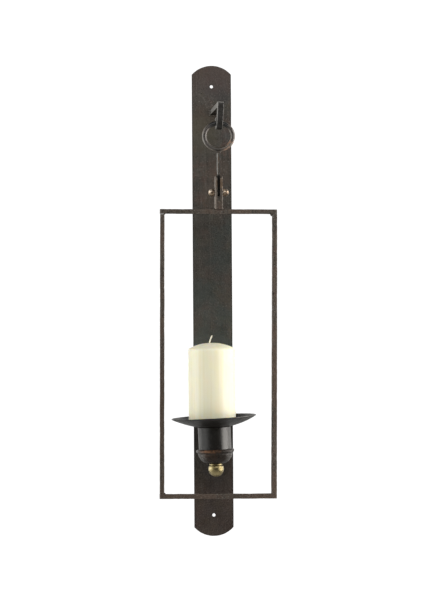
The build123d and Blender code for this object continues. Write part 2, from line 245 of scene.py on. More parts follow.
def arc_profile(start, through, end, steps):
    """Points on the circle arc from start through a middle point to end."""
    ax, ay = start
    bx, by = through
    cx, cy = end
    d = 2 * (ax * (by - cy) + bx * (cy - ay) + cx * (ay - by))
    sa, sb, sc = ax * ax + ay * ay, bx * bx + by * by, cx * cx + cy * cy
    ux = (sa * (by - cy) + sb * (cy - ay) + sc * (ay - by)) / d
    uy = (sa * (cx - bx) + sb * (ax - cx) + sc * (bx - ax)) / d
    radius = math.hypot(ax - ux, ay - uy)
    t0 = math.atan2(ay - uy, ax - ux)
    tm = math.atan2(by - uy, bx - ux)
    t1 = math.atan2(cy - uy, cx - ux)
    forward = (t1 - t0) % math.tau
    if (tm - t0) % math.tau > forward:
        forward -= math.tau
    turns = [t0 + forward * k / steps for k in range(steps + 1)]
    return [(ux + radius * math.cos(t), uy + radius * math.sin(t)) for t in turns]


def circle(matrix, radius, z, count):
    """Points round matrix's z axis, at a height on it."""
    turns = [math.tau * k / count for k in range(count)]
    return [matrix @ Vector((radius * math.cos(t), radius * math.sin(t), z)) for t in turns]


def lathe(profile, matrix, segments, closed=False):
    """Turns an (r, z) profile about matrix's z axis. Points at r = 0 become a pole."""
    bm = bmesh.new()
    rings = []
    for r, z in profile:
        points = [matrix @ Vector((0, 0, z))] if r < 1e-7 else circle(matrix, r, z, segments)
        rings.append([bm.verts.new(point) for point in points])
    for a, b in zip(rings, rings[1:]):
        join_rings(bm, a, b)
    if closed:
        join_rings(bm, rings[-1], rings[0])
    return bm


def forged(node, voxel, softening, bite, spacing, seed, waver):
    """A node's own shape, remeshed evenly, its edges worn round and its faces marked by the hammer."""
    source = nodes[node].data.copy()
    bm = bmesh.new()
    bm.from_mesh(source)
    bmesh.ops.remove_doubles(bm, verts=bm.verts, dist=1e-6)
    bm.to_mesh(source)
    bm.free()
    temp = add_object("forging", source)
    remesh = temp.modifiers.new("even", "REMESH")
    remesh.mode = "VOXEL"
    remesh.voxel_size = voxel
    soften = temp.modifiers.new("worn", "SMOOTH")
    soften.factor = 0.5
    soften.iterations = softening
    made = bpy.data.meshes.new_from_object(temp.evaluated_get(bpy.context.evaluated_depsgraph_get()))
    bpy.data.objects.remove(temp)
    bm = bmesh.new()
    bm.from_mesh(made)
    bpy.data.meshes.remove(made)
    bpy.data.meshes.remove(source)
    if bite or waver:
        hammered(bm, bite, spacing, waver, seed)
    return bm


# ---------------------------------------------------------------- materials

class Nodes:
    """A node tree built up by short calls. Values may be numbers, colours or other nodes' outputs."""

    def __init__(self, tree):
        self.tree = tree
        tree.nodes.clear()

    def put(self, socket, value):
        if isinstance(value, bpy.types.NodeSocket):
            self.tree.links.new(value, socket)
        elif isinstance(value, (tuple, list)) and len(value) == 3 and socket.type == "RGBA":
            socket.default_value = (*value, 1)
        else:
            socket.default_value = value

    def node(self, kind, inputs=(), **settings):
        made = self.tree.nodes.new(kind)
        for key, value in settings.items():
            setattr(made, key, value)
        for key, value in dict(inputs).items():
            self.put(made.inputs[key], value)
        return made

    def math(self, operation, a, b=0.0):
        return self.node("ShaderNodeMath", {0: a, 1: b}, operation=operation).outputs[0]

    def ramp(self, value, low, high, bottom, top, shape="LINEAR"):
        """value mapped from low..high to bottom..top, and held at both ends."""
        inputs = {"Value": value, "From Min": low, "From Max": high, "To Min": bottom, "To Max": top}
        return self.node("ShaderNodeMapRange", inputs, interpolation_type=shape).outputs[0]


class Shader(Nodes):
    """A material of one principled surface. place is a point on the object, in its own coordinates."""

    def __init__(self, name):
        self.material = bpy.data.materials.new(name)
        self.material.use_nodes = True
        super().__init__(self.material.node_tree)
        self.surface = self.node("ShaderNodeBsdfPrincipled")
        self.node("ShaderNodeOutputMaterial", {0: self.surface.outputs[0]})
        self.place = self.node("ShaderNodeTexCoord").outputs["Object"]

    def set(self, **values):
        """The surface's inputs by their names, with _ for a space."""
        for key, value in values.items():
            self.put(self.surface.inputs[key.replace("_", " ")], value)

    def stretched(self, x, y, z):
        return self.node("ShaderNodeMapping", {"Vector": self.place, "Scale": (x, y, z)}).outputs[0]

    def noise(self, feature, detail=2.0, rough=0.5, vector=None, shift=0.0):
        """Noise with features of about the given size in metres, or in stretched units."""
        where = vector or self.place
        if shift:
            inputs = {0: where, 1: (shift, shift * 0.7, shift * 1.3)}
            where = self.node("ShaderNodeVectorMath", inputs).outputs[0]
        inputs = {"Vector": where, "Scale": 1 / feature, "Detail": detail, "Roughness": rough}
        return self.node("ShaderNodeTexNoise", inputs).outputs[0]

    def times(self, a, b):
        return self.math("MULTIPLY", a, b)

    def larger(self, a, b):
        return self.math("MAXIMUM", a, b)

    def band(self, value, low, high, bottom=0.0, top=1.0):
        """A ramp that starts and ends smoothly."""
        return self.ramp(value, low, high, bottom, top, "SMOOTHSTEP")

    def mix(self, share, a, b):
        """Colour a, changed to b by a share. Slots 6, 7 and 2 are the node's colours."""
        return self.node("ShaderNodeMix", data_type="RGBA", inputs={0: share, 6: a, 7: b}).outputs[2]

    def along(self, axis):
        """The object's own x, y or z coordinate, as axis 0, 1 or 2."""
        return self.node("ShaderNodeSeparateXYZ", {0: self.place}).outputs[axis]

    def facing(self, direction, low, high):
        """From 0 to 1, as the surface turns to a direction and their cosine goes from low to high."""
        normal = self.node("ShaderNodeTexCoord").outputs["Normal"]
        inputs = {0: normal, 1: tuple(direction)}
        cosine = self.node("ShaderNodeVectorMath", inputs, operation="DOT_PRODUCT").outputs["Value"]
        return self.band(cosine, low, high)

    def scaled(self, colour, factor):
        """A colour made darker or lighter by a factor, which may be a node's output."""
        made = self.node("ShaderNodeVectorMath", {0: colour}, operation="SCALE")
        self.put(made.inputs["Scale"], factor)
        return made.outputs[0]

    def near(self, centre, radius):
        """From 1 at a place on the object to 0 at radius from it."""
        inputs = {0: self.place, 1: tuple(centre)}
        distance = self.node("ShaderNodeVectorMath", inputs, operation="DISTANCE").outputs["Value"]
        return self.band(distance, radius * 0.25, radius, 1.0, 0.0)

    def pointiness(self, low, high):
        return self.band(self.node("ShaderNodeNewGeometry").outputs["Pointiness"], low, high)

    def bump(self, height, strength, distance, normal=None):
        inputs = {"Height": height, "Strength": strength, "Distance": distance}
        if normal is not None:
            inputs["Normal"] = normal
        return self.node("ShaderNodeBump", inputs).outputs[0]


BLACK = (0.014, 0.012, 0.010)
DARK = (0.034, 0.031, 0.025)
MID = (0.066, 0.057, 0.046)
PALE = (0.105, 0.096, 0.082)
OLIVE = (0.075, 0.066, 0.040)
RUST = (0.095, 0.048, 0.034)
BROWN = (0.125, 0.086, 0.062)
WORN = (0.200, 0.182, 0.160)
COPPER = (0.360, 0.200, 0.120)


def iron_material(
    name, tint=1.0, rust=0.5, warm=0.0, streak=0.5, edge=0.5, speckle=1.0,
    rough=(0.40, 0.60), shine=0.5, own=None
):
    """Waxed, mottled dark iron. own(shader, colour) adds a piece's own colouring, and for several pieces their
    painted light and shade.
    """
    s = Shader(name)
    cloud = s.noise(0.045, 5, 0.62)
    colour = s.mix(s.band(cloud, 0.30, 0.50), DARK, MID)
    colour = s.mix(s.band(cloud, 0.50, 0.74, 0.0, 0.7), colour, PALE)
    olive = s.band(s.noise(0.030, 5, 0.65, shift=6.4), 0.50, 0.68, 0.0, 0.6)
    colour = s.mix(olive, colour, OLIVE)
    if warm:
        colour = s.mix(warm, colour, BROWN)
    rusty = s.band(s.noise(0.022, 6, 0.68, shift=3.1), 0.50, 0.68, 0.0, rust)
    colour = s.mix(rusty, colour, RUST)
    runs = s.noise(1.0, 3, 0.6, vector=s.stretched(420, 420, 12))
    colour = s.mix(s.band(runs, 0.54, 0.72, 0.0, streak), colour, PALE)
    colour = s.mix(s.band(runs, 0.46, 0.28, 0.0, streak), colour, DARK)
    grain = s.noise(0.0042, 4, 0.7, shift=8.7)
    colour = s.mix(s.band(grain, 0.47, 0.30, 0.0, 0.85 * speckle), colour, BLACK)
    speck = s.noise(0.0021, 2, 0.6)
    colour = s.mix(s.band(speck, 0.56, 0.72, 0.0, 0.6 * speckle), colour, WORN)
    patch = s.noise(0.006, 4, 0.7, shift=5.3)
    rubbed = s.times(s.pointiness(0.512, 0.585), s.band(patch, 0.30, 0.55))
    rubbed = s.times(rubbed, edge)
    colour = s.mix(rubbed, colour, WORN)
    if tint != 1.0:
        colour = s.scaled(colour, tint)
    if own:
        colour = own(s, colour)
    dull = s.band(s.noise(0.012, 4, 0.6, shift=1.9), 0.3, 0.7, *rough)
    dull = s.math("ADD", dull, s.times(rusty, 0.2))
    fine = s.bump(speck, 0.22 * speckle, 0.0006)
    pits = s.bump(grain, 0.45 * speckle, 0.0008, fine)
    s.set(Base_Color=colour, Roughness=dull, Normal=pits, Metallic=0.35, Specular_IOR_Level=shine)
    return s.material


def brass_material(name, bright, tarnish, roughness, amount, painted_front_shade, metal=1.0, painted_highlight_toward=None):
    """Brass or bronze, brown with tarnish in patches and in its hollows, with painted shade in front, and a
    painted highlight where it faces a given direction.
    """
    s = Shader(name)
    cloud = s.noise(0.008, 5, 0.65)
    colour = s.mix(s.band(cloud, 0.42, 0.66, 0.0, amount), bright, tarnish)
    speck = s.noise(0.0012, 3, 0.6)
    colour = s.mix(s.band(speck, 0.60, 0.72, 0.0, 0.5), colour, tarnish)
    # Painted shade: the faces turned to the front are mixed towards the tarnish colour.
    front = s.band(s.facing((0, -1, 0), 0.50, 0.95), 0.0, 1.0, 0.0, painted_front_shade)
    colour = s.mix(s.larger(front, s.pointiness(0.49, 0.44)), colour, tarnish)
    if painted_highlight_toward:
        # Painted highlight: a pale patch on the faces turned one given way.
        colour = s.mix(s.facing(painted_highlight_toward, 0.80, 0.95), colour, (0.72, 0.60, 0.47))
    rough = s.band(cloud, 0.35, 0.7, roughness, roughness + 0.2)
    s.set(Base_Color=colour, Roughness=rough, Normal=s.bump(speck, 0.15, 0.0003), Metallic=metal)
    return s.material


def wax_material():
    """Ivory wax: soft, with faint upright runs, a little frosted where it was handled."""
    s = Shader("ivory_wax")
    runs = s.noise(1.0, 3, 0.6, vector=s.stretched(170, 170, 3))
    colour = s.mix(s.band(runs, 0.3, 0.7), (0.868, 0.812, 0.595), (0.918, 0.882, 0.705))
    frost = s.noise(0.0045, 5, 0.7, shift=2.2)
    colour = s.mix(s.band(frost, 0.55, 0.75, 0.0, 0.35), colour, (0.93, 0.90, 0.80))
    rough = s.band(frost, 0.3, 0.7, 0.38, 0.55)
    skin_bump = s.bump(s.noise(0.014, 3, 0.5, shift=4.0), 0.05, 0.0015)
    grain = s.bump(s.noise(0.0009, 2, 0.5), 0.06, 0.0003, skin_bump)
    s.set(Base_Color=colour, Roughness=rough, Normal=grain, Specular_IOR_Level=0.45)
    s.set(Subsurface_Weight=0.85, Subsurface_Radius=(1.0, 0.85, 0.55), Subsurface_Scale=0.014)
    return s.material


def wick_material():
    s = Shader("waxed_wick")
    strand = s.noise(0.0006, 2, 0.5)
    colour = s.mix(strand, (0.80, 0.73, 0.55), (0.90, 0.86, 0.72))
    s.set(Base_Color=colour, Roughness=s.band(strand, 0.3, 0.7, 0.5, 0.75))
    s.set(Normal=s.bump(strand, 0.3, 0.0002))
    return s.material


def steel_material():
    """Turned steel with fine tool marks."""
    s = Shader("turned_steel")
    turned = s.noise(1.0, 2, 0.5, vector=s.stretched(60, 60, 2600))
    colour = s.mix(turned, (0.22, 0.21, 0.20), (0.36, 0.35, 0.34))
    stain = s.band(s.noise(0.006, 4, 0.6), 0.5, 0.7, 0.0, 0.6)
    colour = s.mix(stain, colour, (0.10, 0.075, 0.06))
    s.set(Base_Color=colour, Roughness=s.band(turned, 0.3, 0.7, 0.28, 0.45), Metallic=0.9)
    s.set(Normal=s.bump(turned, 0.2, 0.0002))
    return s.material


ring_low, ring_high = local_box("hanging_ring", hang_matrix)
ring_centre = (ring_low + ring_high) / 2
RING_BAR_R = (ring_high.y - ring_low.y) / 2
RING_LINE = (ring_high - ring_low) / 2 - Vector((RING_BAR_R, 0, RING_BAR_R))
RUB_ANGLE = math.radians(-48)
ring_rub = hang_matrix @ (
    ring_centre + Vector((RING_LINE.x * math.cos(RUB_ANGLE), 0, RING_LINE.z * math.sin(RUB_ANGLE)))
)
ring_head = hang_matrix @ (ring_centre + Vector((0, 0, RING_LINE.z)))

top_bar, bottom_bar = local_box("frame_top_bar", hang_matrix), local_box("frame_bottom_bar", hang_matrix)
BAR = top_bar[1].z - top_bar[0].z
frame_corners = [
    Vector((x, 0, z))
    for z in (top_bar[1].z - BAR / 2, bottom_bar[0].z + BAR / 2)
    for x in (top_bar[0].x + BAR / 2, top_bar[1].x - BAR / 2)
]


def plate_patina_and_painted_shade(s, colour):
    """Patches of brown, blue-grey and green, redder at both ends and darker at the edges, with painted shade round
    the cup.
    """
    height = s.along(2)
    soft = s.noise(0.055, 3, 0.55, shift=14.2)
    colour = s.mix(s.band(soft, 0.52, 0.64, 0.0, 0.30), colour, (0.096, 0.062, 0.044))
    colour = s.mix(s.band(soft, 0.47, 0.36, 0.0, 0.30), colour, (0.060, 0.065, 0.066))
    above_candle = s.times(s.band(height, 0.145, 0.120), s.band(height, -0.11, -0.07))
    green = s.times(above_candle, s.band(soft, 0.60, 0.46, 0.25, 0.68))
    colour = s.mix(green, colour, (0.052, 0.062, 0.054))
    plum = s.times(s.near(Vector((0.004, 0, 0.362)), 0.055), 0.55)
    colour = s.mix(plum, colour, (0.062, 0.044, 0.040))
    red = s.math("ADD", s.band(height, -0.24, -0.32), s.band(height, 0.33, 0.375, 0.0, 0.5))
    colour = s.mix(s.times(red, 0.35), colour, RUST)
    # Brightness by height, in lighter and darker bands; the darker band round the cup is painted shade.
    painted_shade_tone = s.band(height, 0.25, 0.08, 0.95, 0.74)
    for top, foot, factor in ((0.05, -0.05, 1.36), (-0.08, -0.20, 0.52), (-0.25, -0.33, 1.25)):
        painted_shade_tone = s.times(painted_shade_tone, s.band(height, top, foot, 1.0, factor))
    side = s.math("ABSOLUTE", s.along(0))
    painted_shade_tone = s.times(painted_shade_tone, s.band(side, 0.0290, 0.0315, 1.0, 0.62))
    greasy = s.times(s.near(Vector((-0.026, 0, 0.272)), 0.050), 0.55)
    return s.scaled(s.mix(greasy, colour, OLIVE), painted_shade_tone)


def hook_wear_and_painted_light(s, colour):
    """The hook's left side and top carry a painted highlight, its edges are pale, worn and with a painted
    highlight, its front stays dark, and its foot, where the ring hangs, is darkened as painted shade.
    """
    patch = s.band(s.noise(0.004, 3, 0.6, shift=7.7), 0.30, 0.60, 0.65, 1.0)
    # Painted highlight on the faces turned left and up, joined with the worn edges.
    side = s.larger(s.facing((-1, 0, 0), 0.55, 0.85), s.facing((0, 0, 1), 0.35, 0.60))
    worn = s.larger(side, s.pointiness(0.515, 0.560))
    # Painted shade at the hook's foot, where the ring crosses it.
    foot = middle("hook").z - 0.012
    colour = s.scaled(colour, s.band(s.along(2), foot - 0.016, foot, 0.35, 1.0))
    return s.mix(s.times(worn, patch), colour, (0.270, 0.255, 0.235))


def ring_wear_and_painted_shade(s, colour):
    """The ring has a coppery rubbed patch; painted shade darkens its front, though not at that patch, and makes it
    black under the hook, so its sides stay pale.
    """
    patch = s.noise(0.006, 4, 0.7, shift=5.3)
    coppery = s.times(s.near(ring_rub, 0.015), s.band(patch, 0.42, 0.56))
    colour = s.mix(coppery, colour, COPPER)
    # Painted shade on the faces turned to the front.
    painted_shade_tone = s.band(s.facing((0, -1, 0), 0.60, 0.92), 0.0, 1.0, 1.0, 0.40)
    painted_shade_tone = s.larger(painted_shade_tone, s.near(ring_rub, 0.016))
    # Painted shade, nearly black, where the hook crosses the ring's top.
    painted_shade_tone = s.times(painted_shade_tone, s.band(s.near(ring_head, 0.024), 0.10, 0.70, 1.0, 0.06))
    return s.scaled(colour, painted_shade_tone)


def shank_painted_light(s, colour):
    """The rod has a painted highlight down its left side and painted shade down its right, and its eye is painted
    black as shade inside the fork's slot.
    """
    # Painted highlight down the left side.
    colour = s.mix(s.facing((-1, -0.2, 0), 0.70, 0.95), colour, (0.250, 0.240, 0.225))
    # Painted shade down the right side.
    colour = s.scaled(colour, s.band(s.facing((1, 0, 0), 0.10, 0.60), 0.0, 1.0, 1.0, 0.15))
    # Painted shade, nearly black, on the eye inside the fork's slot.
    return s.scaled(colour, s.band(s.along(2), pivot.z + 0.026, pivot.z + 0.031, 0.06, 1.0))


def cup_painted_highlights(s, colour):
    """The cup carries painted highlights to the right of its front and down its far left."""
    # Painted highlights: paler where the surface turns right of the front, and fainter at the far left.
    right = s.facing((0.75, -0.66, 0), 0.84, 0.97)
    left = s.facing((-0.95, -0.30, 0), 0.93, 0.99)
    return s.mix(s.larger(right, s.times(left, 0.3)), colour, (0.100, 0.095, 0.088))


def bowl_wear_and_painted_highlights(s, colour):
    """The bowl and its bead carry flecked painted highlights towards both sides, and are brown along the bead's
    left.
    """
    flecks = s.band(s.noise(0.0030, 4, 0.75, shift=6.6), 0.42, 0.58, 0.35, 1.0)
    # Painted highlights on both sides, broken by the flecks.
    left, right = (s.facing((side, -0.35, -0.25), 0.80, 0.97) for side in (-0.90, 0.90))
    colour = s.mix(s.times(s.larger(left, right), flecks), colour, (0.135, 0.125, 0.115))
    apart = s.math("ABSOLUTE", s.math("SUBTRACT", s.along(2), bead_left.z))
    brown = s.times(s.near(bead_left, 0.024), s.band(apart, 0.0010, 0.0034, 1.0, 0.15))
    brown = s.times(brown, s.band(s.noise(0.0045, 4, 0.7, shift=2.9), 0.40, 0.58, 0.2, 0.8))
    return s.mix(brown, colour, (0.190, 0.092, 0.046))


def bar_wear(s, colour):
    """The bars are brown and grey by turns, with black scale beside the two right-hand welds."""
    brown = s.band(s.noise(0.050, 3, 0.6, shift=12.5), 0.42, 0.60, 0.0, 0.35)
    colour = s.mix(brown, colour, (0.130, 0.080, 0.055))
    upper, lower = (1, -0.0075, -0.0025, 0.0060), (3, -0.0100, 0.0025, 0.0050)
    for corner, aside, above, reach in (upper, lower):
        scale = s.near(hang_matrix @ (frame_corners[corner] + Vector((aside, 0, above))), reach)
        colour = s.scaled(colour, s.band(scale, 0.0, 1.0, 1.0, 0.12))
    return colour


def clevis_wear_and_painted_light(s, colour):
    """The fork's sides carry painted highlights, most on its left, its top is bronzed, and painted shade makes its
    slot black.
    """
    side = s.math("SUBTRACT", s.along(0), pivot.x)
    patch = s.band(s.noise(0.0035, 3, 0.6, shift=9.1), 0.30, 0.52, 0.35, 1.0)
    # Painted highlights down both sides, the left one stronger, broken by patches.
    left = s.band(side, -0.0030, -0.0052)
    right = s.band(side, 0.0042, 0.0062, 0.0, 0.55)
    rubbed = s.times(s.larger(left, right), patch)
    colour = s.mix(rubbed, colour, (0.265, 0.222, 0.185))
    bronzed = s.times(s.near(pivot + Vector((0.004, -0.006, 0.014)), 0.012), patch)
    colour = s.mix(s.times(bronzed, 0.7), colour, (0.170, 0.108, 0.062))
    # Painted shade: the slot between the ears and below them is made nearly black.
    slot = s.band(s.math("ABSOLUTE", side), 0.0019, 0.0026, 1.0, 0.0)
    slot = s.times(slot, s.band(s.along(2), pivot.z - 0.0134, pivot.z - 0.0126))
    return s.scaled(colour, s.math("SUBTRACT", 1.0, s.times(slot, 0.8)))


plate_iron = iron_material("plate_iron", rust=0.5, streak=0.7, edge=0.2, speckle=1.05, own=plate_patina_and_painted_shade)
hook_iron = iron_material(
    "hook_iron", tint=0.24, rust=0.1, streak=0.2, edge=1.0, speckle=0.6, rough=(0.30, 0.45), own=hook_wear_and_painted_light
)
ring_iron = iron_material(
    "ring_iron", tint=1.45, rust=0.3, warm=0.2, streak=0.2, edge=1.0, speckle=0.9,
    rough=(0.24, 0.38), shine=1.0, own=ring_wear_and_painted_shade
)
shank_iron = iron_material(
    "shank_iron", tint=1.3, streak=0.2, rough=(0.45, 0.60), shine=0.15, own=shank_painted_light
)
clevis_iron = iron_material(
    "clevis_iron", rust=0.6, warm=0.30, streak=0.3, edge=1.0, rough=(0.28, 0.42), own=clevis_wear_and_painted_light
)
bar_iron = iron_material(
    "bar_iron", tint=0.90, warm=0.35, streak=0.8, speckle=1.6, edge=1.0, own=bar_wear
)
cup_iron = iron_material(
    "cup_iron", tint=0.19, rust=0.2, streak=0.3, edge=0.8, rough=(0.28, 0.40), shine=0.42, own=cup_painted_highlights
)
bead_left = middle("bowl_bead") + Vector((-0.012, -0.024, 0.001))
bowl_iron = iron_material(
    "bowl_iron", tint=0.17, rust=0.9, warm=0.8, streak=0.2, edge=1.0, speckle=1.4,
    rough=(0.24, 0.38), shine=0.22, own=bowl_wear_and_painted_highlights
)
weld_iron = iron_material("weld_iron", tint=0.8, rust=0.6, warm=0.25, edge=1.0)
brass = brass_material(
    "aged_brass_painted_shade", (0.46, 0.385, 0.21), (0.13, 0.098, 0.036), roughness=0.28, amount=0.7, painted_front_shade=0.55
)
bronze = brass_material(
    "worn_bronze_painted_highlight", (0.33, 0.245, 0.170), (0.045, 0.026, 0.016), roughness=0.20, amount=0.9, painted_front_shade=0.0,
    metal=0.8, painted_highlight_toward=(-0.45, -0.70, 0.55)
)
wax = wax_material()
wick_cotton = wick_material()
steel = steel_material()


# ---------------------------------------------------------------- wall bracket

PLATE_COLUMNS = 40
PLATE_END_R = 0.0425
HOLE_REACH = 6


def plate_rows(half_w, end_z, hole_z, end_radius, cell):
    """The plate's rows from bottom to top, each a function from x to z, and which two the holes lie on."""
    steps = round(2 * hole_z / cell)
    pitch = 2 * hole_z / steps
    sag = end_radius - math.sqrt(end_radius**2 - half_w**2)
    beyond = int((end_z - sag - 3 * cell - hole_z) / pitch)
    straight = [-hole_z + pitch * k for k in range(-beyond, steps + beyond + 1)]
    arc_steps = 12
    last = straight[-1]

    def end_row(share, sign):
        def z_at(x):
            arc = end_z - end_radius + math.sqrt(end_radius**2 - x * x)
            return sign * (last + share * (arc - last))

        return z_at

    rows = [end_row(k / arc_steps, -1) for k in range(arc_steps, 0, -1)]
    rows += [lambda x, z=z: z for z in straight]
    rows += [end_row(k / arc_steps, 1) for k in range(1, arc_steps + 1)]
    return rows, arc_steps + beyond, arc_steps + beyond + steps


def plate_face(bm, y, rows, xs, holes, hole_r):
    """One face, a grid with a round hole at each (row, height). Returns its outline and the holes' rims."""
    last_row, last_column = len(rows) - 1, len(xs) - 1
    middle_column = last_column // 2
    grid = {}
    for r, z_at in enumerate(rows):
        for c, x in enumerate(xs):
            beside = abs(c - middle_column) < HOLE_REACH
            if not (beside and any(abs(r - row) < HOLE_REACH for row, _ in holes)):
                grid[r, c] = bm.verts.new((x, y, z_at(x)))
    for r in range(last_row):
        for c in range(last_column):
            corners = [(r, c), (r, c + 1), (r + 1, c + 1), (r + 1, c)]
            if all(key in grid for key in corners):
                bm.faces.new([grid[key] for key in corners])
    outline = [(0, c) for c in range(last_column)] + [(r, last_column) for r in range(last_row)]
    outline += [(last_row, c) for c in range(last_column, 0, -1)]
    outline += [(r, 0) for r in range(last_row, 0, -1)]
    rims = [[grid[key] for key in outline]]
    lo, hi = -HOLE_REACH, HOLE_REACH
    square = [(lo, c) for c in range(lo, hi)] + [(r, hi) for r in range(lo, hi)]
    square += [(hi, c) for c in range(hi, lo, -1)] + [(r, lo) for r in range(hi, lo, -1)]
    for row, height in holes:
        edge = [grid[row + r, middle_column + c] for r, c in square]
        outer = edge
        for share in (0.72, 0.46, 0.22, 0.0):
            inner = []
            for (r, c), vert in zip(square, edge):
                turn = math.atan2(r, c)
                on_rim = Vector((hole_r * math.cos(turn), y, height + hole_r * math.sin(turn)))
                inner.append(bm.verts.new(on_rim.lerp(vert.co, share)))
            join_rings(bm, outer, inner)
            outer = inner
        rims.append(outer)
    return rims


def build_backplate():
    screws = next(m for m in frame["record"]["mounts"] if m["kind"] == "bolt_pattern")["dims"]
    hole_z = screws["spacing_y_mm"] / 2 * MM
    hole_r = screws["hole_r_mm"] * MM
    half_w, end_z = (plate_high.x - plate_low.x) / 2, (plate_high.z - plate_low.z) / 2
    cell = 2 * half_w / PLATE_COLUMNS
    rows, low_hole, high_hole = plate_rows(half_w, end_z, hole_z, PLATE_END_R, cell)
    xs = [-half_w + cell * k for k in range(PLATE_COLUMNS + 1)]
    holes = ((low_hole, -hole_z), (high_hole, hole_z))
    bm = bmesh.new()
    front, back = (plate_face(bm, y, rows, xs, holes, hole_r) for y in (plate_low.y, plate_high.y))
    rim_edges = []
    for rims in zip(front, back):
        join_rings(bm, *rims)
        for rim in rims:
            rim_edges += [bm.edges.get(ends) for ends in zip(rim, rim[1:] + rim[:1])]
    bmesh.ops.bevel(bm, geom=rim_edges, offset=0.0006, segments=3, profile=0.5, affect="EDGES")
    bmesh.ops.recalc_face_normals(bm, faces=bm.faces)
    thickness = plate_high.y - plate_low.y
    hammered(bm, 0.00022, 0.010, 0.00018, 3, keep=lambda p: min(1.0, max(0.0, -p.y / thickness)))
    finish_mesh(bm, "backplate_strap", plate_iron, "wall_bracket", ["backplate"], sharp=32)


def build_forged(node, body, material, voxel, softening, bite, spacing, seed, waver=0.0):
    """softening is in rounds. bite and spacing are the hammer marks' depth and distance apart."""
    bm = forged(node, voxel, softening, bite, spacing, seed, waver)
    finish_mesh(bm, node + "_forged", material, body, [node], 60)


build_backplate()
build_forged("hook", "wall_bracket", hook_iron, 0.0005, 4, 0.00012, 0.006, 5, 0.00015)
build_forged("hook_weld", "wall_bracket", weld_iron, 0.0004, 6, 0.0002, 0.002, 6, 0.0004)
build_forged("cup_arm", "wall_bracket", cup_iron, 0.0008, 3, 0.00015, 0.008, 7, 0.0001)
build_forged("arm_weld", "wall_bracket", weld_iron, 0.0005, 6, 0.0002, 0.0025, 8, 0.0004)


# ---------------------------------------------------------------- cup, turned about its own leaning axis

def cup_extent(node):
    """Lowest and highest place along the cup's axis, largest radius, and the height where that is."""
    inverse = cup_matrix.inverted()
    points = [inverse @ v.co for v in nodes[node].data.vertices]
    radius, height = max((math.hypot(p.x, p.y), p.z) for p in points)
    return min(p.z for p in points), max(p.z for p in points), radius, height


ROD_HOLE_R = 0.00275
THREAD_R = 0.0025
PAN_TIP = 0.014


def cup_piece(node, name, profile, material, segments, marks=None, closed=True, sharp=38):
    """Turns a profile about the cup's axis. marks are hammered()'s depth, spacing, waver and seed."""
    bm = lathe(profile, cup_matrix, segments, closed)
    if marks:
        hammered(bm, *marks)
    finish_mesh(bm, name, material, "wall_bracket", [node], sharp)


def pan_profile(radius, bottom, rim):
    """The dish's outer face from its hole to its rim, the rounded rim, and the inner face back."""
    depth = rim - bottom
    dish = (radius**2 + depth**2) / (2 * depth)
    sheet = 0.0016
    centre = bottom + dish
    angle = math.asin(radius / dish)
    steps, rim_steps = 36, 6

    def face(r):
        start = math.asin(ROD_HOLE_R / r)
        turns = [start + (angle - start) * k / steps for k in range(steps + 1)]
        return [(r * math.sin(t), centre - r * math.cos(t)) for t in turns]

    rounded = []
    for k in range(1, rim_steps):
        t = math.pi * k / rim_steps
        r = dish - sheet / 2 + sheet / 2 * math.cos(t)
        along = sheet / 2 * math.sin(t)
        out = r * math.sin(angle) + along * math.cos(angle) * 0.6
        rounded.append((out, centre - r * math.cos(angle) + along * math.sin(angle)))
    return face(dish) + rounded + face(dish - sheet)[::-1]


def build_pan():
    """The dished pan, its rim bent a little higher at its right than the cup's lean makes it."""
    bottom, _, radius, rim = cup_extent("drip_pan")
    bm = lathe(pan_profile(radius - 0.0002, bottom, rim), cup_matrix, 160, True)
    inverse = cup_matrix.inverted()
    level_r, blend, sink = 0.040, 0.025, 0.0003
    for v in bm.verts:
        place = inverse @ v.co
        share = min(1.0, max(0.0, (math.hypot(place.x, place.y) - level_r) / blend))
        v.co += cup_up * (place.x * PAN_TIP - sink) * share * share
    hammered(bm, 0.00018, 0.009, 0.00020, 11)
    finish_mesh(bm, "drip_pan_dish", cup_iron, "wall_bracket", ["drip_pan"], sharp=50)


def build_sleeve():
    low, high, radius, _ = cup_extent("cup_sleeve")
    wall = 0.0016
    corners = [(radius, low), (radius, high), (radius - wall, high), (radius - wall, low), (radius, low)]
    profile = filleted(corners, [0.0005] * 3, 3, 0.0025)[:-1]
    marks = (0.00005, 0.010, 0.00012, 12)
    cup_piece("cup_sleeve", "cup_sleeve_tube", profile, cup_iron, 128, marks)


def build_bowl():
    low, high, radius, _ = cup_extent("cup_bowl")
    foot = 0.014
    wall = 0.0022
    belly = (radius - 0.0034, high - 0.0087)
    inner_belly = (radius - 0.0055, high - 0.0077)
    outside = arc_profile((radius, high), belly, (foot, low), 14)
    inside = arc_profile((foot - wall / 2, low + wall), inner_belly, (radius - wall, high), 12)
    floor = [(foot - 0.0006, low), (0.010, low), (ROD_HOLE_R, low)]
    floor += [(ROD_HOLE_R, low + wall), (0.009, low + wall)]
    marks = (0.00018, 0.006, 0.0002, 13)
    cup_piece("cup_bowl", "cup_bowl_turned", outside + floor + inside, bowl_iron, 128, marks, sharp=45)


def build_bead():
    low, high, radius, _ = cup_extent("bowl_bead")
    inner, foot_r = 0.026, 0.0276
    lip = (radius - 0.0004, high - 0.0012)
    middle_z = (low + high) / 2
    widest = (radius, middle_z + 0.0006)
    outside = arc_profile((inner + 0.0008, high), lip, widest, 6)
    under = arc_profile(widest, (radius - 0.0012, middle_z - 0.0018), (foot_r, low + 0.0006), 6)
    profile = outside + under[1:] + [(foot_r - 0.0002, low), (inner, low), (inner, high - 0.0003)]
    marks = (0.00012, 0.004, 0.0002, 14)
    cup_piece("bowl_bead", "bowl_bead_ring", profile, bowl_iron, 128, marks, sharp=45)


